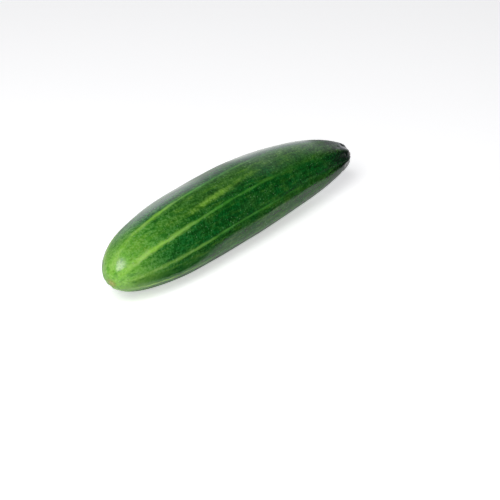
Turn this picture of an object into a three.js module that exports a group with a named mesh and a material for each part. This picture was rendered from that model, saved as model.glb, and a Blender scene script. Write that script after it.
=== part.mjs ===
import * as THREE from 'three';

// A slicing cucumber lying on its side, grown as one piece.
// Lengths are in millimetres and angles in radians. The axis runs along X from the pale blossom
// end to the dark stem end, Z is up, and the underside rests on z = 0.
// Along the fruit, t goes from 0 at the blossom pole to 1 at the stem pole. Round the fruit, an
// angle starts at the top and turns towards -Y.

// Main sizes
const fruitLength = 240;
const bellyRadius = 26.5;

// Axis: it bows sideways, more so towards the stem, and the blossom end hangs a little
const bow = 7.4;
const bowShift = 1.9;
const noseDrop = 2.2;
const dropShare = 0.45;
const noseLean = 3.2;
const leanShare = 0.12;

// How the two ends close: the length that each takes, how late it narrows and how round its tip is
const nose = { span: 141.5, power: 4.1, tip: 0.5 };
const neck = { span: 115, power: 1.54, tip: 0.4 };

// The strip that the fruit's weight presses flat
const flatDepth = 1.4;

// Section: low ribs under the stripes, drifting from even spacing, on three soft lobes
const ribCount = 9;
const ribHeight = 0.3;
const firstRib = THREE.MathUtils.degToRad(3.4);
const ribDrift = THREE.MathUtils.degToRad(5.6);
const driftTurn = THREE.MathUtils.degToRad(6.3);
const lobeCount = 3;
const lobeHeight = 0.4;

// Blossom end: puckers round a small dry scar in a shallow dimple, a little below the tip's middle
const blossomShift = { down: 4, side: 1, spread: 12 };
const blossomPucker = { height: 0.35, radius: 6, spread: 3.5 };
const blossomDimple = { depth: 0.9, radius: 4.5 };
const blossomScar = { height: 0.4, radius: 1.7 };

// Stem end: uneven dents and pinched ribs round a dimple that holds the dry stump of the stem
const stemPucker = { depth: 1.2, radius: 12.5, spread: 6 };
const stemPinch = { height: 0.35, radius: 9.5, spread: 4.5 };
const stemDimple = { depth: 2.6, radius: 8 };
const stumpCorners = 5;
const stumpCornerShare = 0.08;
const stumpTip = 1.35;
const stumpProfile = [
  new THREE.Vector2(4.3, 0.1),
  new THREE.Vector2(3.75, 0.5),
  new THREE.Vector2(3.6, 1),
  new THREE.Vector2(3.75, 1.35),
  new THREE.Vector2(3.2, 1.6),
  new THREE.Vector2(1.6, 1.5),
];

// Mesh density: sides round the fruit, and rings along it
const sideCount = 72;
const ringCount = 64;

function axisPoint(t) {
  const s = t - 0.5;
  const hang = 1 - Math.min(t / dropShare, 1);
  return new THREE.Vector3(
    fruitLength * s,
    bow * (1 - 4 * s * s) * (1 + bowShift * s),
    bellyRadius - flatDepth - noseDrop * hang * hang,
  );
}

// The axis at t, with its own forward, up and side directions; near the blossom the rings lean over
function axisFrame(t) {
  const step = 0.001;
  const forward = axisPoint(t + step).sub(axisPoint(t - step)).normalize();
  const side = forward.clone().cross(new THREE.Vector3(0, 0, 1)).normalize();
  const up = side.clone().cross(forward);
  const lean = 1 - Math.min(t / leanShare, 1);
  const centre = axisPoint(t).addScaledVector(side, noseLean * lean * lean);
  return { centre, forward, side, up };
}

function fullness(distance, end) {
  const share = Math.min(distance / end.span, 1);
  return (1 - (1 - share) ** end.power) ** end.tip;
}

function bodyRadius(t) {
  return bellyRadius * fullness(t * fruitLength, nose) * fullness((1 - t) * fruitLength, neck);
}

// Where the neck has narrowed to a radius
function neckPlace(radius) {
  const share = 1 - (1 - (radius / bellyRadius) ** (1 / neck.tip)) ** (1 / neck.power);
  return 1 - share * neck.span / fruitLength;
}

function hill(distance, spread) {
  return Math.exp(-((distance / spread) ** 2));
}

// Distance and angle from the middle of the scar; farther back they equal those from the axis
function fromScar(angle, radius) {
  const share = hill(radius, blossomShift.spread);
  const above = radius * Math.cos(angle) + blossomShift.down * share;
  const aside = radius * Math.sin(angle) - blossomShift.side * share;
  return { distance: Math.hypot(above, aside), turn: Math.atan2(aside, above) };
}

function ribPhase(angle) {
  return ribCount * (angle - firstRib - ribDrift * Math.sin(2 * angle - driftTurn));
}

// The ribs and lobes, which flatten out towards the ends
function sectionRelief(rib, angle, radius) {
  const lobe = Math.cos(lobeCount * angle);
  return (ribHeight * rib + lobeHeight * lobe) * (radius / bellyRadius) ** 2;
}

// How far the skin stands out from the plain round section
function relief(t, angle, radius) {
  if (t < 0.5) {
    const { distance, turn } = fromScar(angle, radius);
    const rib = Math.cos(ribPhase(turn));
    const nearScar = hill(distance - blossomPucker.radius, blossomPucker.spread);
    return sectionRelief(rib, angle, radius) - blossomPucker.height * nearScar * rib;
  }
  const rib = Math.cos(ribPhase(angle));
  const nearStem = hill(radius - stemPucker.radius, stemPucker.spread);
  const dents = 0.5 + 0.3 * Math.cos(5 * angle + 0.6) + 0.2 * Math.cos(3 * angle - 1.1);
  const pinch = stemPinch.height * hill(radius - stemPinch.radius, stemPinch.spread) * rib;
  return sectionRelief(rib, angle, radius) + pinch - stemPucker.depth * nearStem * dents;
}

// How far the skin sinks in towards the middle of the fruit near a pole
function sink(t, angle, radius) {
  if (t < 0.5) {
    const { distance } = fromScar(angle, radius);
    const dimple = blossomDimple.depth * hill(distance, blossomDimple.radius);
    return dimple - blossomScar.height * hill(distance, blossomScar.radius);
  }
  return -stemDimple.depth * hill(radius, stemDimple.radius);
}

function ringPoint(frame, forwardBy, radius, angle) {
  const point = frame.centre.clone();
  point.addScaledVector(frame.forward, forwardBy);
  point.addScaledVector(frame.up, radius * Math.cos(angle));
  point.addScaledVector(frame.side, radius * Math.sin(angle));
  point.z = Math.max(point.z, 0);
  return point;
}

function ringOf(frame, forwardAt, radiusAt) {
  const ring = [];
  for (let side = 0; side < sideCount; side += 1) {
    const angle = 2 * Math.PI * side / sideCount;
    ring.push(ringPoint(frame, forwardAt(angle), radiusAt(angle), angle));
  }
  return ring;
}

// Rings of the body, closest together at the two ends
function bodyRings() {
  const rings = [];
  const lastPlace = neckPlace(stumpProfile[0].x + 1);
  for (let ring = 1; ring < ringCount; ring += 1) {
    const t = 0.5 - 0.5 * Math.cos(Math.PI * ring / ringCount);
    if (t > lastPlace) break;
    const radius = bodyRadius(t);
    const forwardAt = (angle) => sink(t, angle, radius);
    rings.push(ringOf(axisFrame(t), forwardAt, (angle) => radius + relief(t, angle, radius)));
  }
  return rings;
}

// The stump stands on the floor of the dimple and has the five soft corners of the stem
function stumpBase() {
  const radius = stumpProfile[0].x;
  const t = neckPlace(radius);
  return { frame: axisFrame(t), floor: sink(t, 0, radius) };
}

function stumpRings() {
  const { frame, floor } = stumpBase();
  const corner = (angle) => 1 + stumpCornerShare * Math.cos(stumpCorners * angle);
  return stumpProfile.map((step) => ringOf(frame, () => floor + step.y, (angle) => step.x * corner(angle)));
}

// One closed skin: a fan at the blossom pole, bands between the rings and a fan at the stump's tip
function skinGeometry() {
  const rings = [...bodyRings(), ...stumpRings()];
  const { frame, floor } = stumpBase();
  const blossomPole = ringPoint(axisFrame(0), sink(0, 0, 0), 0, 0);
  const stumpPole = ringPoint(frame, floor + stumpTip, 0, 0);
  const points = [blossomPole, ...rings.flat(), stumpPole];
  const lastPoint = points.length - 1;
  const at = (ring, side) => 1 + ring * sideCount + (side % sideCount);
  const faces = [];
  for (let side = 0; side < sideCount; side += 1) {
    faces.push(0, at(0, side + 1), at(0, side));
    faces.push(lastPoint, at(rings.length - 1, side), at(rings.length - 1, side + 1));
  }
  for (let ring = 0; ring < rings.length - 1; ring += 1) {
    for (let side = 0; side < sideCount; side += 1) {
      faces.push(at(ring, side), at(ring, side + 1), at(ring + 1, side));
      faces.push(at(ring, side + 1), at(ring + 1, side + 1), at(ring + 1, side));
    }
  }
  const geometry = new THREE.BufferGeometry().setFromPoints(points);
  geometry.setIndex(faces);
  return geometry;
}

// The origin is under the middle of the fruit's box
function centreOverOrigin(geometry) {
  geometry.computeBoundingBox();
  const middle = geometry.boundingBox.getCenter(new THREE.Vector3());
  geometry.translate(-middle.x, -middle.y, 0);
  geometry.computeVertexNormals();
  return geometry;
}

function cucumber() {
  const skin = new THREE.MeshStandardMaterial({ color: 0x2c6a22, roughness: 0.32, metalness: 0 });
  const fruit = new THREE.Mesh(centreOverOrigin(skinGeometry()), skin);
  fruit.name = 'cucumber';
  return fruit;
}

const part = new THREE.Group();
part.add(cucumber());

export default part;
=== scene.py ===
import bpy
import math
import numpy as np
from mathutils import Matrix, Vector, noise


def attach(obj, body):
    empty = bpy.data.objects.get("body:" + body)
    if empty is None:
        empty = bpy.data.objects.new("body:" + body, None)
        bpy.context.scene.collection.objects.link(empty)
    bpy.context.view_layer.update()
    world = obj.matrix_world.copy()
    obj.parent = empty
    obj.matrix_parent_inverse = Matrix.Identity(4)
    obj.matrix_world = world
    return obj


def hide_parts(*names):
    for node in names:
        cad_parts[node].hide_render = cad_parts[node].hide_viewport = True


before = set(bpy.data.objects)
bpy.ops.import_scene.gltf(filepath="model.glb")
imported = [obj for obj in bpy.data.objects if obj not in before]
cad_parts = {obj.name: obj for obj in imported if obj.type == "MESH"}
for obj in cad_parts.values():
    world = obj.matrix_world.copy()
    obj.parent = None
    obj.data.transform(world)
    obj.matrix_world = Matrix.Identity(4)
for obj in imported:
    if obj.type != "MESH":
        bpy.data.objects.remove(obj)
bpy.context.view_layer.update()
print("frame loaded:", ", ".join(sorted(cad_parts)))

mm = 0.001  # sizes below are in metres, so 5 * mm is five millimetres


# a colour given 0 to 255 a channel, as the linear colour that the shaders take
def shade(red, green, blue):
    def linear(channel):
        value = channel / 255
        return value / 12.92 if value <= 0.04045 else ((value + 0.055) / 1.055) ** 2.4
    return (linear(red), linear(green), linear(blue), 1)


def addObject(name, data):
    made = bpy.data.objects.new(name, data)
    bpy.context.scene.collection.objects.link(made)
    return made


# azimuth 0 is on the -Y side of the fruit and 90 on the +X side
def directionOf(azimuth, elevation):
    turn, rise = math.radians(azimuth), math.radians(elevation)
    return Vector((math.sin(turn) * math.cos(rise), -math.cos(turn) * math.cos(rise), math.sin(rise)))


# puts a camera or a lamp where the view says and turns it to the aim
def placeLooking(item, aim, view):
    away = directionOf(view["azimuth"], view["elevation"])
    item.location = aim + away * view["distance"]
    item.rotation_euler = away.to_track_quat("Z", "Y").to_euler()


# Camera: stands off the blossom end on the -Y side, 28 degrees above the table
cameraView = {
    "azimuth": -48.5,
    "elevation": 28,
    "distance": 923.5 * mm,
    "aim": Vector((-1.66, -18.95, -1.0)) * mm,
    "lens": 100,
    "sensor": 36,
}


def makeCamera():
    data = bpy.data.cameras.new("tableCamera")
    data.lens = cameraView["lens"]
    data.sensor_width = cameraView["sensor"]
    data.clip_start = 10 * mm
    camera = addObject("tableCamera", data)
    placeLooking(camera, cameraView["aim"], cameraView)
    bpy.context.scene.camera = camera


makeCamera()
print("camera placed")

# The fruit's form. Along it, t goes from 0 at the blossom pole to 1 at the stem pole.
# Round it, an angle starts at the top and turns towards -Y.
fruitForm = {
    "length": 240 * mm,
    "bellyRadius": 26.5 * mm,
    "middle": np.array([-0.050, 5.998, 0]) * mm,  # of the fruit's box, which goes over the origin
    "bow": 7.4 * mm,
    "bowShift": 1.9,
    "noseDrop": 2.2 * mm,
    "dropShare": 0.45,
    "noseLean": 3.2 * mm,
    "leanShare": 0.12,
    "nose": {"span": 141.5 * mm, "power": 4.1, "tip": 0.5},
    "neck": {"span": 115 * mm, "power": 1.54, "tip": 0.4},
    "flatDepth": 1.4 * mm,
    "ribCount": 9,
    "ribHeight": 0.3 * mm,
    "firstRib": math.radians(3.4),
    "ribDrift": math.radians(5.6),
    "driftTurn": math.radians(6.3),
    "lobeCount": 3,
    "lobeHeight": 0.4 * mm,
    "rings": 320,
    "sides": 288,
}
# the scar sits a little below the middle of the tip
blossomEnd = {
    "shiftDown": 4 * mm,
    "shiftSide": 1 * mm,
    "shiftSpread": 12 * mm,
    "puckerHeight": 0.35 * mm,
    "puckerRadius": 6 * mm,
    "puckerSpread": 3.5 * mm,
    "dimpleDepth": 0.9 * mm,
    "dimpleRadius": 4.5 * mm,
    "scarHeight": 0.4 * mm,
    "scarRadius": 1.7 * mm,
}
stemEnd = {
    "puckerDepth": 1.2 * mm,
    "puckerRadius": 12.5 * mm,
    "puckerSpread": 6 * mm,
    "pinchHeight": 0.35 * mm,
    "pinchRadius": 9.5 * mm,
    "pinchSpread": 4.5 * mm,
    "dimpleDepth": 2.6 * mm,
    "dimpleRadius": 8 * mm,
    "evenDent": 0.5,
    "dents": [(0.3, 5, 0.6), (0.2, 3, -1.1)],  # share, how many round the neck, turn
}
# unevenness of a grown skin: long soft dents made of waves, and small pits
skinDents = {
    "waves": 16,
    "wavesAround": (1, 9),
    "wavesAlong": (4, 38),
    "waveHeight": 0.06 * mm,
    "seed": 11,
    "pitSize": 5 * mm,
    "pitHeight": 0.06 * mm,
    "pitStretch": 3,
    "stemPitSize": 4.5 * mm,
    "stemPitShift": 7.3,  # takes their noise from another place than that of the small pits
    "stemPitFrom": 0.12,
    "stemPitRange": 0.5,
    "stemPitDepth": 0.6 * mm,
    "stemPitRadius": 10.5 * mm,
    "stemPitSpread": 4 * mm,
}


def unit(vectors):
    return vectors / np.linalg.norm(vectors, axis=-1, keepdims=True)


def hill(distance, spread):
    return np.exp(-(distance / spread) ** 2)


# waves round a full turn, each given as its share, how many there are and how far they are turned
def wavesRound(waves, angle):
    return sum(share * np.cos(count * angle + turn) for share, count, turn in waves)


def axisPoints(t):
    s = t - 0.5
    hang = 1 - np.minimum(t / fruitForm["dropShare"], 1)
    x = fruitForm["length"] * s
    y = fruitForm["bow"] * (1 - 4 * s ** 2) * (1 + fruitForm["bowShift"] * s)
    z = fruitForm["bellyRadius"] - fruitForm["flatDepth"] - fruitForm["noseDrop"] * hang ** 2
    return np.stack([x, y, z], axis=-1) - fruitForm["middle"]


def axisFrames(t):
    step = 0.001
    forward = unit(axisPoints(t + step) - axisPoints(t - step))
    side = unit(np.cross(forward, [0, 0, 1]))
    up = np.cross(side, forward)
    lean = 1 - np.minimum(t / fruitForm["leanShare"], 1)
    centre = axisPoints(t) + side * (fruitForm["noseLean"] * lean ** 2)[..., None]
    return centre, forward, side, up


# a point off the axis: so far forward, so far out, at an angle round it
def pointsAround(t, forwardBy, reach, angle):
    centre, forward, side, up = axisFrames(t)
    outward = up * np.cos(angle)[..., None] + side * np.sin(angle)[..., None]
    return centre + forward * forwardBy[..., None] + outward * reach[..., None]


def fullness(distance, end):
    share = np.clip(distance / end["span"], 0, 1)
    return (1 - (1 - share) ** end["power"]) ** end["tip"]


def bodyRadius(t):
    noseFull = fullness(t * fruitForm["length"], fruitForm["nose"])
    neckFull = fullness((1 - t) * fruitForm["length"], fruitForm["neck"])
    return fruitForm["bellyRadius"] * noseFull * neckFull


# how far from its pole an end has widened to a radius, as a share of the fruit's length
def widthPlace(radius, end):
    share = 1 - (1 - (radius / fruitForm["bellyRadius"]) ** (1 / end["tip"])) ** (1 / end["power"])
    return share * end["span"] / fruitForm["length"]


# distance and angle from the middle of the scar; farther back they equal those from the axis
def fromScar(t, angle, radius):
    share = hill(radius, blossomEnd["shiftSpread"]) * (t < 0.5)
    above = radius * np.cos(angle) + blossomEnd["shiftDown"] * share
    aside = radius * np.sin(angle) - blossomEnd["shiftSide"] * share
    return np.hypot(above, aside), np.arctan2(aside, above)


def ribPhase(angle):
    drift = fruitForm["ribDrift"] * np.sin(2 * angle - fruitForm["driftTurn"])
    return fruitForm["ribCount"] * (angle - fruitForm["firstRib"] - drift)


def waveHeights(t, angle):
    draw = np.random.default_rng(skinDents["seed"])
    total = np.zeros_like(t)
    for wave in range(skinDents["waves"]):
        around = draw.integers(*skinDents["wavesAround"])
        along = draw.uniform(*skinDents["wavesAlong"])
        turn, start = draw.uniform(0, 2 * math.pi, 2)
        total += np.sin(around * angle + turn) * np.sin(along * t + start)
    return skinDents["waveHeight"] * total


# how far the skin stands out from the plain round section
def reliefHeights(t, angle, radius):
    distance, turn = fromScar(t, angle, radius)
    rib = np.cos(ribPhase(turn))
    lobe = np.cos(fruitForm["lobeCount"] * angle)
    share = (radius / fruitForm["bellyRadius"]) ** 2
    section = (fruitForm["ribHeight"] * rib + fruitForm["lobeHeight"] * lobe + waveHeights(t, angle)) * share
    nearScar = hill(distance - blossomEnd["puckerRadius"], blossomEnd["puckerSpread"])
    nearStem = hill(radius - stemEnd["puckerRadius"], stemEnd["puckerSpread"])
    nearPinch = hill(radius - stemEnd["pinchRadius"], stemEnd["pinchSpread"])
    dents = stemEnd["evenDent"] + wavesRound(stemEnd["dents"], angle)
    blossomSide = -blossomEnd["puckerHeight"] * nearScar * rib
    stemSide = stemEnd["pinchHeight"] * nearPinch * rib - stemEnd["puckerDepth"] * nearStem * dents
    return section + np.where(t < 0.5, blossomSide, stemSide)


# how deep the skin is sunk at a distance from the middle of the scar
def scarDip(distance):
    dimple = blossomEnd["dimpleDepth"] * hill(distance, blossomEnd["dimpleRadius"])
    return dimple - blossomEnd["scarHeight"] * hill(distance, blossomEnd["scarRadius"])


# how far the skin sinks in along the axis near a pole
def sinkDepths(t, angle, radius):
    stem = stemEnd["dimpleDepth"] * hill(radius, stemEnd["dimpleRadius"])
    return np.where(t < 0.5, scarDip(fromScar(t, angle, radius)[0]), -stem)


def noiseAt(points, size, shift=0.0):
    flat = points.reshape(-1, 3) / size + shift
    return np.array([noise.noise(Vector(point)) for point in flat]).reshape(points.shape[:-1])


def skinPoints(t, angle):
    radius = bodyRadius(t)
    reach = radius + reliefHeights(t, angle, radius)
    depth = sinkDepths(t, angle, radius)
    points = pointsAround(t, depth, reach, angle)
    # small pits all over, and a few deeper ones in the puckers round the stem
    nearStem = hill(radius - skinDents["stemPitRadius"], skinDents["stemPitSpread"]) * (t > 0.5)
    drawn = points / [skinDents["pitStretch"], 1, 1]
    pits = skinDents["pitHeight"] * noiseAt(drawn, skinDents["pitSize"]) * radius / fruitForm["bellyRadius"]
    deep = noiseAt(points, skinDents["stemPitSize"], skinDents["stemPitShift"]) - skinDents["stemPitFrom"]
    deep = np.clip(deep / skinDents["stemPitRange"], 0, 1)
    reach = reach + pits - skinDents["stemPitDepth"] * deep * nearStem
    points = pointsAround(t, depth, reach, angle)
    points[..., 2] = np.maximum(points[..., 2], 0)
    return points


# a closed piece from rows of points: a fan at each end and bands between the rows
def closedPiece(name, rows, startPoint, endPoint):
    rowCount, sideCount = rows.shape[:2]
    points = np.concatenate([startPoint[None], rows.reshape(-1, 3), endPoint[None]])
    index = 1 + np.arange(rowCount * sideCount).reshape(rowCount, sideCount)
    following = np.roll(index, -1, axis=1)
    bands = np.stack([index[:-1], following[:-1], following[1:], index[1:]], axis=-1).reshape(-1, 4)
    startFan = [(0, int(b), int(a)) for a, b in zip(index[0], following[0])]
    endFan = [(len(points) - 1, int(a), int(b)) for a, b in zip(index[-1], following[-1])]
    mesh = bpy.data.meshes.new(name)
    mesh.from_pydata(points.tolist(), [], startFan + bands.tolist() + endFan)
    mesh.shade_smooth()
    return addObject(name, mesh)


def storeValues(piece, name, values, startValue, endValue):
    attribute = piece.data.attributes.new(name, "FLOAT", "POINT")
    everyValue = np.concatenate([[startValue], values.reshape(-1), [endValue]])
    attribute.data.foreach_set("value", everyValue.astype(np.float32))


# Stripes run along the ribs, the first at the top and the next ones towards -Y.
# Half widths are in millimetres. Each stripe has its full strength from the place in fullFrom on.
# Each field after a stripe has its own green, from 0 for the deepest to 1 for the most olive.
stripeLook = {
    "halfWidth": [0.95, 1.45, 1.35, 1.0, 1.5, 1.1, 1.5, 1.0, 1.2],
    "strength": [1.0, 0.89, 0.88, 0.7, 0.9, 0.75, 0.95, 0.7, 0.85],
    "fieldTone": [0.85, 0.05, 0.35, 0.3, 0.7, 0.35, 0.8, 0.3, 0.15],
    "fullFrom": [0.2, 0.06, 0.27, 0.08, 0.04, 0.2, 0.05, 0.12, 0.04],
    "faintest": 0.4,  # the share of its strength that a stripe keeps nearest the pole
    "toneBlend": 0.12,
    "swing": math.radians(5),
    "swingSpread": 0.13,
    "swingBack": math.radians(3.8),
    "swingBackFrom": 0.18,
    "swingBackSpan": 0.2,
    "topShift": math.radians(2.3),
}
# Short broken yellowish streaks: from place and angle to place and angle, half width in millimetres
streaks = [
    {"start": (0.26, 34), "end": (0.43, 29), "halfWidth": 1.8, "strength": 1.0},
    {"start": (0.38, 31), "end": (0.56, 25), "halfWidth": 1.3, "strength": 0.4},
    {"start": (0.05, 24), "end": (0.13, 28), "halfWidth": 2.6, "strength": 0.5},
    {"start": (0.12, 33), "end": (0.24, 30), "halfWidth": 2.4, "strength": 0.3},
    {"start": (0.22, 148), "end": (0.40, 141), "halfWidth": 1.4, "strength": 0.7},
    {"start": (0.35, 215), "end": (0.52, 222), "halfWidth": 1.2, "strength": 0.6},
    {"start": (0.18, 300), "end": (0.33, 306), "halfWidth": 1.5, "strength": 0.75},
]
# Duller patches of the waxy rind, where less of the light is reflected: middle as place and angle,
# reach each way as share of the length and degrees, and how much of the shine is lost
dullPatches = [
    {"middle": (0.47, -20), "reach": (0.095, 38), "loss": 0.45},
    {"middle": (0.9, -12), "reach": (0.055, 34), "loss": 0.74},
    {"middle": (0.97, 64), "reach": (0.035, 17), "loss": 0.5},
    {"middle": (0.6, 190), "reach": (0.12, 40), "loss": 0.3},
]
# Deeper green patches within a field, given in the same way
deepPatches = [
    {"middle": (0.36, 41), "reach": (0.19, 7), "loss": 0.8},
    {"middle": (0.58, 35), "reach": (0.1, 11), "loss": 0.75},
    {"middle": (0.75, 35), "reach": (0.12, 16), "loss": 0.4},
    {"middle": (0.3, 250), "reach": (0.16, 8), "loss": 0.6},
]
# The belly fades in from the widest line down, by the cosine of the angle from the top
bellyLook = {"from": 0.02, "blend": 0.25}


# the angle between two directions, up to half a turn either way
def turnBetween(first, second):
    return np.angle(np.exp(1j * (first - second)))


def shareLeft(patches, t, angle):
    total = np.ones_like(t)
    for patch in patches:
        (place, degrees), (placeReach, degreesReach) = patch["middle"], patch["reach"]
        turn = np.degrees(turnBetween(angle, math.radians(degrees)))
        total -= patch["loss"] * np.exp(-((t - place) / placeReach) ** 4 - (turn / degreesReach) ** 4)
    return total


def streakMask(t, angle, radius):
    total = np.zeros_like(t)
    for streak in streaks:
        (startPlace, startAngle), (endPlace, endAngle) = streak["start"], streak["end"]
        share = (t - startPlace) / (endPlace - startPlace)
        line = np.radians(startAngle + (endAngle - startAngle) * share)
        gap = np.abs(turnBetween(angle, line)) * radius / mm
        ends = np.clip(4 * share * (1 - share), 0, 1) ** 0.5
        total += streak["strength"] * hill(gap, streak["halfWidth"]) * ends
    return np.clip(total, 0, 1)


# stripes follow the ribs, but on the -Y side they swing down by the blossom and up farther along
def stripePhase(t, angle):
    farther = np.clip((t - stripeLook["swingBackFrom"]) / stripeLook["swingBackSpan"], 0, 1)
    swing = stripeLook["swing"] * hill(t, stripeLook["swingSpread"]) - stripeLook["swingBack"] * farther
    topShift = stripeLook["topShift"] * np.maximum(np.cos(angle), 0) ** 4
    return ribPhase(angle - swing * np.maximum(np.sin(angle), 0) - topShift) / (2 * np.pi)


# the greens of two neighbouring fields run into each other under the stripe between them
def fieldTones(phase):
    tones = np.array(stripeLook["fieldTone"])
    stripe = np.round(phase).astype(int)
    after = tones[stripe % len(tones)]
    before = tones[(stripe - 1) % len(tones)]
    share = np.clip((phase - stripe) / stripeLook["toneBlend"] * 0.5 + 0.5, 0, 1)
    return before + (after - before) * share


def makeSkin():
    rings, sides = fruitForm["rings"], fruitForm["sides"]
    places = 0.5 - 0.5 * np.cos(np.pi * np.arange(1, rings) / rings)
    turns = 2 * np.pi * np.arange(sides) / sides
    t, angle = np.meshgrid(places, turns, indexing="ij")
    poles = skinPoints(np.array([0.0, 1.0]), np.array([0.0, 0.0]))
    skin = closedPiece("cucumberSkin", skinPoints(t, angle), poles[0], poles[1])
    radius = bodyRadius(t)
    distance, turn = fromScar(t, angle, radius)
    phase = stripePhase(t, turn)
    nearest = np.round(phase)
    stripe = nearest.astype(int) % fruitForm["ribCount"]
    gap = np.abs(phase - nearest) * 2 * np.pi * distance / fruitForm["ribCount"]
    halfWidth, strength, fullFrom = [
        np.array(stripeLook[name])[stripe] for name in ("halfWidth", "strength", "fullFrom")
    ]
    strength = strength * np.clip(t / fullFrom, stripeLook["faintest"], 1)
    belly = np.clip((bellyLook["from"] - np.cos(angle)) / bellyLook["blend"], 0, 1)
    storeValues(skin, "along", t, 0, 1)
    storeValues(skin, "poleDistance", distance / mm, distance[0, 0] / mm, 0)
    storeValues(skin, "stripeGap", gap / mm, 0, 0)
    storeValues(skin, "stripeHalfWidth", halfWidth, 1, 1)
    storeValues(skin, "stripeStrength", strength, 1, 1)
    storeValues(skin, "fieldTone", fieldTones(phase) * shareLeft(deepPatches, t, angle), 0.5, 0.5)
    storeValues(skin, "streak", streakMask(t, angle, radius), 0, 0)
    storeValues(skin, "shine", shareLeft(dullPatches, t, angle), 1, 1)
    storeValues(skin, "belly", belly, 0, 0)
    return skin


# Stump of the stem: five soft corners, dry ridged sides and a ragged broken face.
# The profile goes from inside the fruit, up the side and over the rim, as radius and height.
stumpForm = {
    "profile": [
        (4.4, -0.9), (4.3, 0.1), (3.75, 0.5), (3.6, 1.0),
        (3.7, 1.3), (3.3, 1.55), (2.6, 1.5), (1.2, 1.35),
    ],
    "softening": 9,  # rings over which the profile's corners are rounded
    "seat": 4.3 * mm,
    "corners": 5,
    "cornerShare": 0.08,
    "ridges": 26,
    "ridgeHeight": 0.11 * mm,
    "ridgeWander": 3,
    "ridgeLostOnTop": 0.7,
    "topFrom": 1.1 * mm,
    "topSpan": 0.3 * mm,
    "raggedHeight": 0.4 * mm,
    "grainSize": 0.8 * mm,
    "rings": 70,
    "sides": 160,
}
# Blossom scar: a small dry button with a frayed star on it, set in the dimple
scarForm = {
    "radius": 2.0 * mm,
    "dome": 0.22 * mm,
    "rays": 7,
    "rayHeight": 0.12 * mm,
    "rayTwist": 2,
    "raggedEdge": 0.3 * mm,
    "frays": [(0.6, 5, 1), (0.4, 8, 0)],  # share, how many round the scar, turn
    "tuck": 0.4 * mm,
    "tuckFrom": 0.86,
    "rootDepth": 0.8 * mm,
    "tipCurve": 9.6 * mm,
    "grainSize": 0.5 * mm,
    "grainHeight": 0.12 * mm,
    "rings": 40,
    "sides": 120,
}


# the profile as evenly spaced rings with its corners rounded
def stumpRings():
    profile = np.array(stumpForm["profile"]) * mm
    steps = np.concatenate([[0], np.cumsum(np.linalg.norm(np.diff(profile, axis=0), axis=1))])
    places = np.linspace(0, steps[-1], stumpForm["rings"])
    soft = np.hanning(stumpForm["softening"])
    padding = stumpForm["softening"] // 2
    padded = [np.pad(np.interp(places, steps, column), padding, "edge") for column in profile.T]
    return [np.convolve(column, soft / soft.sum(), "valid") for column in padded]


def makeStump():
    ringRadius, ringHeight = stumpRings()
    turns = 2 * np.pi * np.arange(stumpForm["sides"]) / stumpForm["sides"]
    radius, angle = np.meshgrid(ringRadius, turns, indexing="ij")
    height = np.meshgrid(ringHeight, turns, indexing="ij")[0]
    t = np.full_like(radius, 1 - widthPlace(stumpForm["seat"], fruitForm["neck"]))
    floor = sinkDepths(t, angle, np.full_like(t, stumpForm["seat"]))
    corner = 1 + stumpForm["cornerShare"] * np.cos(stumpForm["corners"] * angle)
    plain = pointsAround(t, floor + height, radius * corner, angle)
    wander = stumpForm["ridgeWander"] * noiseAt(plain, stumpForm["grainSize"])
    ridge = stumpForm["ridgeHeight"] * np.cos(stumpForm["ridges"] * angle + wander)
    onTop = np.clip((height - stumpForm["topFrom"]) / stumpForm["topSpan"], 0, 1)
    ragged = stumpForm["raggedHeight"] * onTop * noiseAt(plain, 2 * stumpForm["grainSize"], 3.1)
    reach = radius * corner + ridge * (1 - stumpForm["ridgeLostOnTop"] * onTop)
    rows = pointsAround(t, floor + height + ragged, reach, angle)
    ends = ([0, -1], 0)
    middles = pointsAround(t[ends], floor[ends] + height[ends], np.zeros(2), np.zeros(2))
    return closedPiece("stemStump", rows, middles[0], middles[1])


# the middle of the scar, with the directions into the fruit, sideways and up from there
def scarFrame():
    down, side = blossomEnd["shiftDown"], blossomEnd["shiftSide"]
    radius = math.hypot(down, side)
    for repeat in range(8):  # closes in on the radius that the shift leads to
        radius = math.hypot(down, side) * hill(radius, blossomEnd["shiftSpread"])
    angle = math.atan2(side, -down)
    t = widthPlace(radius, fruitForm["nose"])
    step = 0.02
    places = t * np.array([1, 1 + step, 1 - step, 1, 1])
    angles = angle + np.array([0, 0, 0, step, -step])
    depths = np.full_like(places, scarDip(0))
    middle, behind, ahead, left, right = pointsAround(places, depths, bodyRadius(places), angles)
    inward = unit(np.cross(behind - ahead, left - right))
    inward *= np.sign(inward[0])
    sideways = axisFrames(np.array([t]))[2][0]
    sideways = unit(sideways - inward * (sideways @ inward))
    return middle, inward, sideways, np.cross(sideways, inward)


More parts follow.
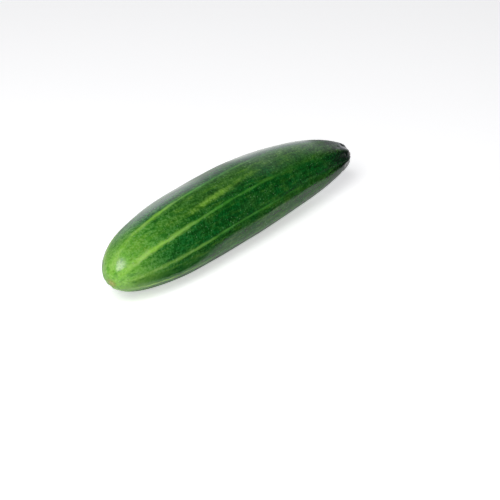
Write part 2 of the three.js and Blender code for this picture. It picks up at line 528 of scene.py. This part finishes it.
def makeScar():
    middle, inward, sideways, upward = scarFrame()
    share = np.linspace(1, 0, scarForm["rings"], endpoint=False)
    turns = 2 * np.pi * np.arange(scarForm["sides"]) / scarForm["sides"]
    share, angle = np.meshgrid(share, turns, indexing="ij")
    edge = scarForm["raggedEdge"] * wavesRound(scarForm["frays"], angle)
    radius = (scarForm["radius"] + edge) * share
    ray = scarForm["rayHeight"] * np.cos(scarForm["rays"] * angle + scarForm["rayTwist"] * share)
    tuck = scarForm["tuck"] * np.clip((share - scarForm["tuckFrom"]) / (1 - scarForm["tuckFrom"]), 0, 1)
    dome = scarForm["dome"] * (1 - share ** 4) + ray * 4 * share * (1 - share) - tuck
    depth = scarDip(radius) - scarDip(0) + radius ** 2 / (2 * scarForm["tipCurve"]) - dome
    outward = np.cos(angle)[..., None] * upward + np.sin(angle)[..., None] * sideways
    flat = middle + radius[..., None] * outward
    rough = scarForm["grainHeight"] * noiseAt(flat, scarForm["grainSize"])
    rows = flat + (depth + rough)[..., None] * inward
    root = middle + scarForm["rootDepth"] * inward
    return closedPiece("blossomScar", rows[:, ::-1], root, rows[-1].mean(axis=0))


skin = makeSkin()
stump = makeStump()
scar = makeScar()
print("pieces made:", ", ".join(piece.name for piece in (skin, stump, scar)))


# a node tree with short ways to add nodes to it
class NodeDesk:
    def __init__(self, tree):
        self.tree = tree

    def feed(self, socket, item):
        if isinstance(item, bpy.types.NodeSocket):
            self.tree.links.new(item, socket)
        else:
            socket.default_value = item

    def add(self, kind, inputs, **settings):
        made = self.tree.nodes.new("ShaderNode" + kind)
        for name, setting in settings.items():
            setattr(made, name, setting)
        for key, item in inputs.items():
            self.feed(made.inputs[key], item)
        return made

    def maths(self, operation, first, second=0.0, clamp=False):
        return self.add("Math", {0: first, 1: second}, operation=operation, use_clamp=clamp).outputs[0]

    def times(self, first, second):
        return self.maths("MULTIPLY", first, second)

    def plus(self, first, second, clamp=False):
        return self.maths("ADD", first, second, clamp)

    # a value from 0 to 1 as one on both sides of zero
    def swing(self, value, amount):
        return self.times(self.maths("SUBTRACT", value, 0.5), amount)

    # a value that rises softly from lowTo to highTo while the input goes from low to high
    def rise(self, value, low, high, lowTo=0.0, highTo=1.0):
        limits = {"Value": value, "From Min": low, "From Max": high, "To Min": lowTo, "To Max": highTo}
        return self.add("MapRange", limits, interpolation_type="SMOOTHSTEP").outputs[0]

    def blend(self, share, first, second, blendType="MIX"):
        inputs = {0: share, 6: first, 7: second}
        return self.add("Mix", inputs, data_type="RGBA", blend_type=blendType).outputs[2]

    def stored(self, name):
        return self.add("Attribute", {}, attribute_name=name).outputs["Fac"]

    # object coordinates in millimetres, drawn out along the fruit where stretch is above 1
    def place(self, stretch=1.0):
        coordinates = self.add("TexCoord", {}).outputs["Object"]
        scale = (1000 / stretch, 1000, 1000)
        return self.add("Mapping", {"Vector": coordinates, "Scale": scale}).outputs[0]

    def cloud(self, place, size, detail=2.0, roughness=0.5):
        inputs = {"Vector": place, "Scale": 1 / size, "Detail": detail, "Roughness": roughness}
        return self.add("TexNoise", inputs).outputs[0]


# Fine grain of plant tissue: a mottle and pale specks, sized in millimetres, with the height of both
def makeGrainGroup():
    group = bpy.data.node_groups.new("tissueGrain", "ShaderNodeTree")
    for name, start in (("Grain Size", 1.0), ("Speck Spacing", 3.0), ("Speck Share", 0.2)):
        socket = group.interface.new_socket(name=name, in_out="INPUT", socket_type="NodeSocketFloat")
        socket.default_value = start
    group.interface.new_socket(name="Place", in_out="INPUT", socket_type="NodeSocketVector")
    for name in ("Mottle", "Specks", "Height"):
        group.interface.new_socket(name=name, in_out="OUTPUT", socket_type="NodeSocketFloat")
    desk = NodeDesk(group)
    given = group.nodes.new("NodeGroupInput").outputs
    results = group.nodes.new("NodeGroupOutput").inputs
    inverse = desk.maths("DIVIDE", 1.0, given["Grain Size"])
    inputs = {"Vector": given["Place"], "Scale": inverse, "Detail": 3.0, "Roughness": 0.6}
    mottle = desk.rise(desk.add("TexNoise", inputs).outputs[0], 0.36, 0.64)
    spacing = desk.maths("DIVIDE", 1.0, given["Speck Spacing"])
    cells = desk.add("TexVoronoi", {"Vector": given["Place"], "Scale": spacing, "Randomness": 1.0})
    size = desk.add("SeparateColor", {"Color": cells.outputs["Color"]}).outputs[0]
    reach = desk.times(size, given["Speck Share"])
    specks = desk.rise(desk.maths("SUBTRACT", reach, cells.outputs["Distance"]), -0.05, 0.08)
    height = desk.plus(desk.times(mottle, 0.7), desk.times(specks, 0.3))
    desk.feed(results["Mottle"], mottle)
    desk.feed(results["Specks"], specks)
    desk.feed(results["Height"], height)
    return group


grainGroup = makeGrainGroup()


def newMaterial(name):
    material = bpy.data.materials.new(name)
    material.use_nodes = True
    desk = NodeDesk(material.node_tree)
    shader = material.node_tree.nodes["Principled BSDF"]
    return material, desk, shader


def placeGrain(desk, place, grainSize, speckSpacing, speckShare):
    node = desk.add("Group", {}, node_tree=grainGroup)
    node.inputs["Grain Size"].default_value = grainSize
    node.inputs["Speck Spacing"].default_value = speckSpacing
    node.inputs["Speck Share"].default_value = speckShare
    desk.feed(node.inputs["Place"], place)
    return node.outputs


# Look of the rind, with sizes and spacings in millimetres
skinLook = {
    "deepGreen": shade(4, 95, 27),
    "oliveGreen": shade(66, 124, 40),
    "blossomDeep": shade(34, 122, 47),
    "blossomLight": shade(84, 163, 62),
    "tipGreen": shade(141, 204, 82),
    "paintedUnderShade": (0.75, 0.75, 0.75, 1),  # painted shade that darkens the underside of the blossom end
    "toneSwing": 1.5,
    "stemGreen": shade(5, 32, 19),
    "stripeLight": shade(166, 224, 90),
    "stripePale": shade(180, 228, 116),
    "stripeDim": shade(86, 168, 62),
    "stripeWander": 0.5,
    "lineLight": shade(104, 160, 48),
    "lineDark": (0.5, 0.66, 0.5, 1),
    "yellowStreak": shade(130, 186, 64),
    "grainDark": 1.25,  # the power that the colour is raised to where the grain is darkest
    "grainLight": 0.84,  # and where it is lightest
    "speckGreen": shade(146, 200, 140),
    "scarTan": shade(164, 164, 54),
    "grainSize": 1.5,
    "speckSpacing": 1.7,
    "speckShare": 0.3,
    "patchSize": 9.0,
    "clumpSize": 4.0,
    "fibreSize": 1.6,
    "fibreStretch": 5.0,
    "lineSize": 2.2,
    "lineStretch": 8.0,
    "roughness": 0.14,
    "coatRoughness": 0.2,
    "coatIor": 1.5,
    "grainBump": 0.03 * mm,
    "lineBump": 0.03 * mm,
}


# what the skin is coloured by: values stored on its mesh, and noises sized in millimetres
def skinInputs(desk):
    look = skinLook
    names = ["along", "poleDistance", "fieldTone", "streak", "shine", "belly"]
    names += ["stripeGap", "stripeHalfWidth", "stripeStrength"]
    given = {name: desk.stored(name) for name in names}
    place = desk.place()
    given["patches"] = desk.cloud(place, look["patchSize"], 3.0)
    given["clumps"] = desk.cloud(place, look["clumpSize"])
    given["fibres"] = desk.cloud(desk.place(look["fibreStretch"]), look["fibreSize"], 3.0, 0.6)
    given["lines"] = desk.cloud(desk.place(look["lineStretch"]), look["lineSize"], 3.0, 0.6)
    given["grain"] = placeGrain(desk, place, look["grainSize"], look["speckSpacing"], look["speckShare"])
    nearBlossom = desk.rise(given["along"], 0.2, 0.1)
    given["atTip"] = desk.times(desk.rise(given["poleDistance"], 25.0, 10.0), nearBlossom)
    given["nearScar"] = desk.times(desk.rise(given["poleDistance"], 5.0, 2.0), nearBlossom)
    return given


# greens of the fields, lighter towards the blossom and darker towards the stem, with painted shade under the
# blossom end
def fieldGreens(desk, given):
    look, along = skinLook, given["along"]
    tone = desk.plus(given["fieldTone"], desk.swing(given["patches"], look["toneSwing"]), clamp=True)
    body = desk.blend(tone, look["deepGreen"], look["oliveGreen"])
    nose = desk.blend(tone, look["blossomDeep"], look["blossomLight"])
    edge = desk.plus(along, desk.swing(given["fibres"], 0.12))
    body = desk.blend(desk.rise(edge, 0.34, 0.02), body, nose)
    body = desk.blend(desk.times(given["atTip"], 0.95), body, look["tipGreen"])
    body = desk.blend(desk.rise(edge, 0.8, 0.97), body, look["stemGreen"])
    # painted shade: the underside near the blossom end is darkened as if in shadow
    under = desk.times(given["belly"], desk.rise(along, 0.25, 0.15))
    under = desk.times(under, desk.rise(along, 0.02, 0.06))
    return desk.blend(under, body, desk.blend(1.0, body, look["paintedUnderShade"], "MULTIPLY"))


# faint lighter and darker lines along the fruit
def drawLines(desk, given, body):
    look, lines = skinLook, given["lines"]
    darker = desk.blend(1.0, body, look["lineDark"], "MULTIPLY")
    body = desk.blend(desk.rise(lines, 0.48, 0.34), body, darker)
    share = desk.times(desk.rise(lines, 0.5, 0.7, 0.0, 0.7), desk.rise(given["along"], 0.95, 0.6, 0.15, 1.0))
    share = desk.times(share, desk.rise(given["fieldTone"], 0.0, 0.8, 0.35, 1.0))
    return desk.blend(share, body, look["lineLight"])


# where the stripes are: widest by the blossom, ragged and fading along the fruit
def stripeMask(desk, given):
    along = given["along"]
    width = desk.times(given["stripeHalfWidth"], desk.rise(along, 0.0, 0.42, 1.55, 0.65))
    width = desk.times(width, desk.rise(given["fibres"], 0.3, 0.7, 0.6, 1.4))
    gap = desk.plus(given["stripeGap"], desk.swing(given["grain"]["Mottle"], skinLook["stripeWander"]))
    inside = desk.rise(desk.maths("DIVIDE", gap, width), 0.1, 1.25, 1.0, 0.0)
    inside = desk.times(inside, desk.rise(given["lines"], 0.3, 0.5, 0.72, 1.0))
    fading = desk.rise(desk.plus(along, desk.times(given["patches"], 0.3)), 0.5, 0.95, 1.0, 0.08)
    return desk.times(desk.times(inside, given["stripeStrength"]), fading)


# the stripes, palest by the blossom, and the broken streaks
def drawStripes(desk, given, inStripe, body):
    look = skinLook
    green = desk.blend(desk.rise(given["patches"], 0.4, 0.6), look["stripeLight"], look["stripePale"])
    green = desk.blend(desk.rise(given["along"], 0.08, 0.38), green, look["stripeDim"])
    body = desk.blend(inStripe, body, green)
    broken = desk.times(given["streak"], desk.rise(given["clumps"], 0.3, 0.65, 0.3, 1.0))
    return desk.blend(broken, body, look["yellowStreak"])


# grain: a light and dark mottle, softer on the stripes, the tip and the belly, and pale specks
def drawGrain(desk, given, inStripe, body):
    look, grain = skinLook, given["grain"]
    clumps = desk.rise(given["clumps"], 0.32, 0.68)
    uneven = desk.plus(desk.times(grain["Mottle"], 0.7), desk.times(clumps, 0.3))
    uneven = desk.plus(desk.swing(uneven, desk.rise(given["along"], 0.4, 0.15, 1.0, 1.65)), 0.5, clamp=True)
    power = desk.rise(uneven, 0.0, 1.0, look["grainDark"], look["grainLight"])
    grainy = desk.add("Gamma", {"Color": body, "Gamma": power}).outputs[0]
    soft = desk.maths("MAXIMUM", desk.times(inStripe, 0.55), desk.times(given["atTip"], 0.4))
    soft = desk.maths("MAXIMUM", soft, desk.times(given["belly"], 0.7))
    body = desk.blend(soft, grainy, body)
    specks = desk.times(grain["Specks"], desk.rise(given["patches"], 0.3, 0.7, 0.15, 0.42))
    return desk.blend(specks, body, look["speckGreen"])


def bumpOf(desk, height, distance):
    return desk.add("Bump", {"Height": height, "Distance": distance, "Strength": 1.0}).outputs[0]


# The waxy coat alone reflects. The roughness under it is for viewers that leave a coat out.
def makeSkinMaterial():
    look = skinLook
    material, desk, shader = newMaterial("waxyRind")
    given = skinInputs(desk)
    inStripe = stripeMask(desk, given)
    body = drawLines(desk, given, fieldGreens(desk, given))
    body = drawStripes(desk, given, inStripe, body)
    body = drawGrain(desk, given, inStripe, body)
    body = desk.blend(desk.times(given["nearScar"], 0.6), body, look["scarTan"])
    roughness = desk.plus(look["roughness"], desk.times(given["grain"]["Mottle"], 0.05))
    roughness = desk.plus(roughness, desk.times(given["patches"], 0.06))
    desk.feed(shader.inputs["Base Color"], body)
    desk.feed(shader.inputs["Roughness"], roughness)
    desk.feed(shader.inputs["Normal"], bumpOf(desk, given["grain"]["Height"], look["grainBump"]))
    desk.feed(shader.inputs["Coat Normal"], bumpOf(desk, given["lines"], look["lineBump"]))
    desk.feed(shader.inputs["Coat Weight"], given["shine"])
    shader.inputs["Coat Roughness"].default_value = look["coatRoughness"]
    shader.inputs["Coat IOR"].default_value = look["coatIor"]
    shader.inputs["Specular IOR Level"].default_value = 0.0
    return material


# Dry tissue of the stump and the scar, with its sizes in millimetres too
dryLooks = {
    "driedStem": {
        "dark": shade(74, 62, 34), "light": shade(176, 166, 112), "green": shade(78, 96, 44),
        "grainSize": 0.5, "speckSpacing": 1.0, "speckShare": 0.3, "patchSize": 1.6,
        "stretch": 4.0, "roughness": 0.72, "bump": 0.12 * mm,
    },
    "driedBlossom": {
        "dark": shade(148, 156, 78), "light": shade(208, 212, 130), "green": shade(158, 184, 80),
        "grainSize": 0.35, "speckSpacing": 1.0, "speckShare": 0.3, "patchSize": 1.6,
        "stretch": 1.0, "roughness": 0.66, "bump": 0.06 * mm,
    },
}


def makeDryMaterial(name):
    look = dryLooks[name]
    material, desk, shader = newMaterial(name)
    place = desk.place(look["stretch"])
    grain = placeGrain(desk, place, look["grainSize"], look["speckSpacing"], look["speckShare"])
    patches = desk.cloud(place, look["patchSize"])
    colour = desk.blend(grain["Mottle"], look["dark"], look["light"])
    colour = desk.blend(desk.rise(patches, 0.45, 0.7, 0.0, 0.7), colour, look["green"])
    roughness = desk.plus(look["roughness"], desk.times(grain["Specks"], 0.15))
    desk.feed(shader.inputs["Base Color"], colour)
    desk.feed(shader.inputs["Roughness"], roughness)
    desk.feed(shader.inputs["Normal"], bumpOf(desk, grain["Height"], look["bump"]))
    return material


skin.data.materials.append(makeSkinMaterial())
stump.data.materials.append(makeDryMaterial("driedStem"))
scar.data.materials.append(makeDryMaterial("driedBlossom"))
print("materials made")

for piece in (skin, stump, scar):
    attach(piece, "root")
    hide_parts("cucumber")

# Studio: a round softbox over the blossom end and a lamp for the glint there, a white backdrop
# behind the fruit and a pale floor. The softbox isn't seen in reflections, and the glint lamp gives
# no diffuse light.
lamps = {
    "softbox": {
        "azimuth": -60.7, "elevation": 48, "distance": 1.1, "roll": 0,
        "width": 0.66, "height": 0.66, "power": 10.2, "colour": (1, 1, 1), "unseenBy": "glossy",
    },
    "glintLamp": {
        "azimuth": -63.8, "elevation": 46, "distance": 1.1, "roll": 130,
        "width": 0.98, "height": 0.66, "power": 11.2, "colour": (0.9, 0.62, 1.0), "unseenBy": "diffuse",
    },
}
lampAim = Vector((-100, 0, 30)) * mm
# The backdrop's light by height, as the sine of the elevation, and by side, in degrees from +X to +Y
backdrop = {
    "heights": [(0.0, 1.25), (0.1, 1.15), (0.3, 1.05), (0.48, 1.0), (0.58, 0.72), (0.65, 0.35), (0.72, 0.03)],
    "sides": [
        (-14, 0.0), (-2, 0.6), (10, 1.0), (56, 1.0), (68, 0.72), (80, 0.25),
        (100, 0.2), (130, 0.1), (160, 0.0),
    ],
    "tint": (0.96, 0.97, 1.06, 1),
    "ambient": 0.03,
    "seen": 1.0,
}
floorLook = {
    "halfSize": 5.0,
    "depth": 0.05 * mm,
    "colour": shade(244, 244, 244),
    "roughness": 0.9,
    "glow": 0.08,
    "seenGlow": 0.5,
}


def makeLamp(name):
    look = lamps[name]
    data = bpy.data.lights.new(name, "AREA")
    data.shape = "ELLIPSE"
    data.size = look["width"]
    data.size_y = look["height"]
    data.energy = look["power"]
    data.color = look["colour"]
    lamp = addObject(name, data)
    placeLooking(lamp, lampAim, look)
    lamp.rotation_euler.rotate_axis("Z", math.radians(look["roll"]))
    setattr(lamp, "visible_" + look["unseenBy"], False)


# a grey ramp through (place, level) pairs, with places from 0 to 1
def levelRamp(desk, value, levels):
    ramp = desk.add("ValToRGB", {"Fac": value})
    stops = ramp.color_ramp.elements
    for place, level in levels[1:-1]:
        stops.new(place)
    for stop, (place, level) in zip(stops, levels):
        stop.position = place
        stop.color = (level, level, level, 1)
    return ramp.outputs["Color"]


def makeBackdrop():
    world = bpy.data.worlds.new("backdrop")
    world.use_nodes = True
    bpy.context.scene.world = world
    desk = NodeDesk(world.node_tree)
    background = world.node_tree.nodes["Background"]
    direction = desk.add("SeparateXYZ", {"Vector": desk.add("TexCoord", {}).outputs["Generated"]}).outputs
    turn = desk.maths("DIVIDE", desk.maths("ARCTAN2", direction["Y"], direction["X"]), 2 * math.pi)
    sides = [(degrees / 360 + 0.5, level) for degrees, level in backdrop["sides"]]
    bySide = levelRamp(desk, desk.plus(turn, 0.5), sides)
    byHeight = levelRamp(desk, direction["Z"], backdrop["heights"])
    light = desk.plus(desk.times(bySide, byHeight), backdrop["ambient"])
    seen = desk.add("LightPath", {}).outputs["Is Camera Ray"]
    strength = desk.add("Mix", {0: seen, 2: light, 3: backdrop["seen"]}, data_type="FLOAT").outputs[0]
    desk.feed(background.inputs["Strength"], strength)
    desk.feed(background.inputs["Color"], backdrop["tint"])


# matt paper that can glow
def makePaper(name, colour, roughness=1.0):
    material, desk, shader = newMaterial(name)
    shader.inputs["Base Color"].default_value = colour
    shader.inputs["Roughness"].default_value = roughness
    shader.inputs["Specular IOR Level"].default_value = 0.0
    shader.inputs["Emission Color"].default_value = (1, 1, 1, 1)
    return material, desk, shader


def makeFloor():
    half, depth = floorLook["halfSize"], -floorLook["depth"]
    mesh = bpy.data.meshes.new("paleFloor")
    corners = [(-half, -half, depth), (half, -half, depth), (half, half, depth), (-half, half, depth)]
    mesh.from_pydata(corners, [], [(0, 1, 2, 3)])
    floor = addObject("paleFloor", mesh)
    material, desk, shader = makePaper("palePaper", floorLook["colour"], floorLook["roughness"])
    seen = desk.add("LightPath", {}).outputs["Is Camera Ray"]
    glow = desk.plus(floorLook["glow"], desk.times(seen, floorLook["seenGlow"]))
    desk.feed(shader.inputs["Emission Strength"], glow)
    mesh.materials.append(material)


# Two cards just above the floor that only reflections see: a dark one keeps the rind deep green
# on the -Y side, and a pale one brightens its edge on the +Y side. Corners are in millimetres.
cards = {
    "darkCard": {
        "corners": [
            (-118, -120), (-60, -420), (420, -420), (420, -34), (125, -34),
            (20, -39), (-25, -38), (-60, -32), (-118, -33),
        ],
        "colour": shade(20, 34, 18),
        "glow": 0,
    },
    "paleCard": {
        "corners": [
            (-70, 32), (60, 36), (122, 20), (140, -20), (1500, -20),
            (1500, 1500), (800, 1500), (130, 356), (-25, 100),
        ],
        "colour": shade(120, 120, 120),
        "glow": 1.1,
    },
}
cardHeight = 1.0 * mm


def makeCard(name):
    look = cards[name]
    mesh = bpy.data.meshes.new(name)
    corners = [(x * mm, y * mm, cardHeight) for x, y in look["corners"]]
    mesh.from_pydata(corners, [], [tuple(range(len(corners)))])
    card = addObject(name, mesh)
    for kind in ("camera", "diffuse", "shadow", "transmission", "volume_scatter"):
        setattr(card, "visible_" + kind, False)
    material, desk, shader = makePaper(name, look["colour"])
    shader.inputs["Emission Strength"].default_value = look["glow"]
    mesh.materials.append(material)


for name in lamps:
    makeLamp(name)
makeBackdrop()
makeFloor()
for name in cards:
    makeCard(name)
bpy.context.scene.view_settings.view_transform = "Standard"
print("studio made")
